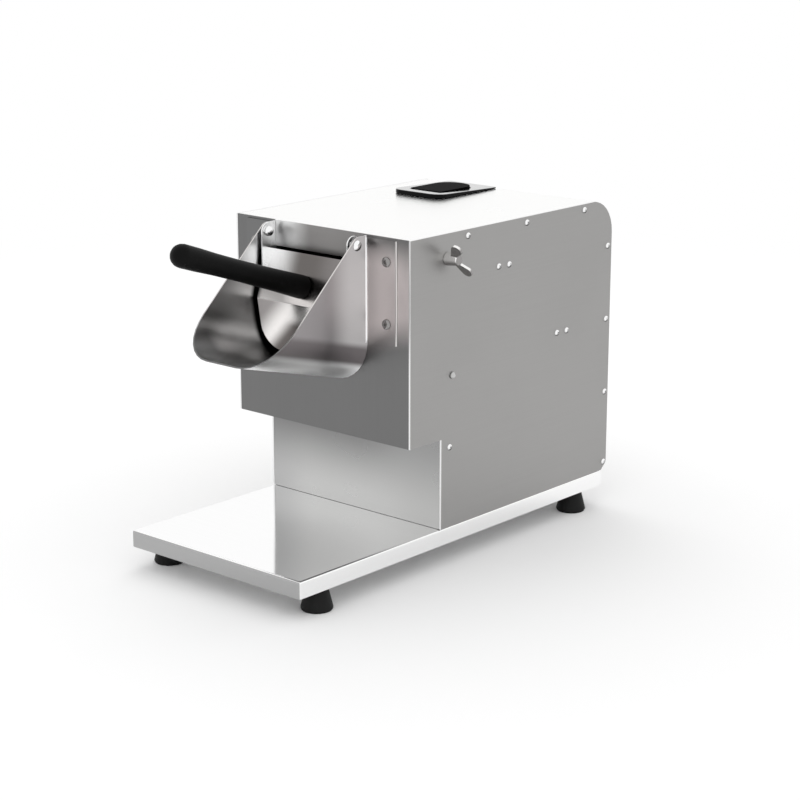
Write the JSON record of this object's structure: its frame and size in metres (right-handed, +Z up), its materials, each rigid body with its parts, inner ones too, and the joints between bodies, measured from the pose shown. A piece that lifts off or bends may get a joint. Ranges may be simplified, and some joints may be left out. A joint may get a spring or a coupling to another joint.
{
  "type": "electric grater",
  "caption": "Table-top electric grater with a stainless housing on a long base plate, a sloping feed chute with a swinging pusher and a belt-driven grating drum.",
  "frame": {"origin": "middle of the bounding box, on the floor under the feet", "axes": "+Z up, +Y from the front with the chute to the rear of the housing, +X to the right of a person who faces the chute"},
  "size_m": [0.301, 0.5618, 0.3725],
  "materials": {
    "side_steel": "fine grey satin sheet",
    "front_steel": "fine dark grey satin sheet",
    "chute_steel": "bright satin sheet",
    "polished_steel": "polished",
    "bright_steel": "bright machined",
    "zinc_steel": "zinc plated",
    "aluminium": "machined",
    "black_rubber": "matte black",
    "black_grip": "satin black",
    "black_plastic": "satin black",
    "motor_paint": "dark grey paint",
    "white_plastic": "white"
  },
  "bodies": {
    "housing": {"base_plate": "polished_steel", "side_panel_left": "side_steel", "side_panel_right": "side_steel", "front_panel": "front_steel", "head_floor": "front_steel", "column_front_panel": "bright_steel", "top_cover": "polished_steel", "rear_cover": "side_steel", "power_inlet": "black_plastic", "feed_chute": "chute_steel", "pivot_pin_left": "bright_steel", "pivot_pin_right": "bright_steel", "bearing_plate_left": "aluminium", "bearing_plate_right": "aluminium", "bearing_left": "bright_steel", "bearing_right": "bright_steel", "drum_shroud": "bright_steel", "upper_spacer_left": "zinc_steel", "upper_spacer_right": "zinc_steel", "lower_spacer_left": "zinc_steel", "lower_spacer_right": "zinc_steel", "cassette_screw_left": "bright_steel", "cassette_screw_right": "bright_steel", "drive_belt": "black_rubber", "motor_body": "motor_paint", "motor_bell_left": "aluminium", "motor_bell_right": "aluminium", "motor_shelf": "zinc_steel", "component_tray": "zinc_steel", "capacitor": "white_plastic", "switch_bezel": "black_plastic", "switch_body": "black_plastic", "foot_front_left": "black_rubber", "foot_screw_front_left": "zinc_steel", "foot_front_right": "black_rubber", "foot_screw_front_right": "zinc_steel", "foot_rear_left": "black_rubber", "foot_screw_rear_left": "zinc_steel", "foot_rear_right": "black_rubber", "foot_screw_rear_right": "zinc_steel", "chute_screw_top_left": "bright_steel", "chute_screw_top_right": "bright_steel", "chute_screw_low_left": "bright_steel", "chute_screw_low_right": "bright_steel"},
    "pusher": {"pusher_plate": "chute_steel", "handle_grip": "black_grip", "handle_stud": "zinc_steel", "handle_nut": "zinc_steel"},
    "drum": {"grater_drum": "bright_steel", "drum_disc_left": "aluminium", "drum_disc_right": "aluminium", "drum_shaft": "bright_steel", "drum_pulley": "aluminium"},
    "rotor": {"motor_rotor": "zinc_steel", "motor_fan": "black_plastic", "motor_pulley": "aluminium"},
    "rocker": {"switch_rocker": "black_plastic"},
    "wing_left": {"wing_bolt_left": "bright_steel"},
    "wing_right": {"wing_bolt_right": "bright_steel"}
  },
  "joints": [
    {"name": "pusher_swing", "type": "hinge", "parent": "housing", "child": "pusher", "pos_m": [0, -0.088, 0.3529], "axis": [-1, 0, 0], "range_deg": [-18, 75]},
    {"name": "motor_spin", "type": "hinge", "parent": "housing", "child": "rotor", "pos_m": [-0.005, 0.186, 0.2725], "axis": [1, 0, 0], "continuous": true},
    {"name": "drum_spin", "type": "hinge", "parent": "housing", "child": "drum", "pos_m": [0, -0.012, 0.2675], "axis": [1, 0, 0], "continuous": true},
    {"name": "switch_tilt", "type": "hinge", "parent": "housing", "child": "rocker", "pos_m": [-0.051, 0.1885, 0.3585], "axis": [1, 0, 0], "range_deg": [-3, 3]},
    {"name": "wing_bolt_left_turn", "type": "hinge", "parent": "housing", "child": "wing_left", "pos_m": [-0.125, -0.0134, 0.336], "axis": [-1, 0, 0], "range_deg": [0, 360]},
    {"name": "wing_bolt_right_turn", "type": "hinge", "parent": "housing", "child": "wing_right", "pos_m": [0.125, -0.0134, 0.336], "axis": [1, 0, 0], "range_deg": [0, 360]}
  ],
  "couplings": [
    {"joint": "drum_spin", "follows": "motor_spin", "ratio": 0.5}
  ]
}
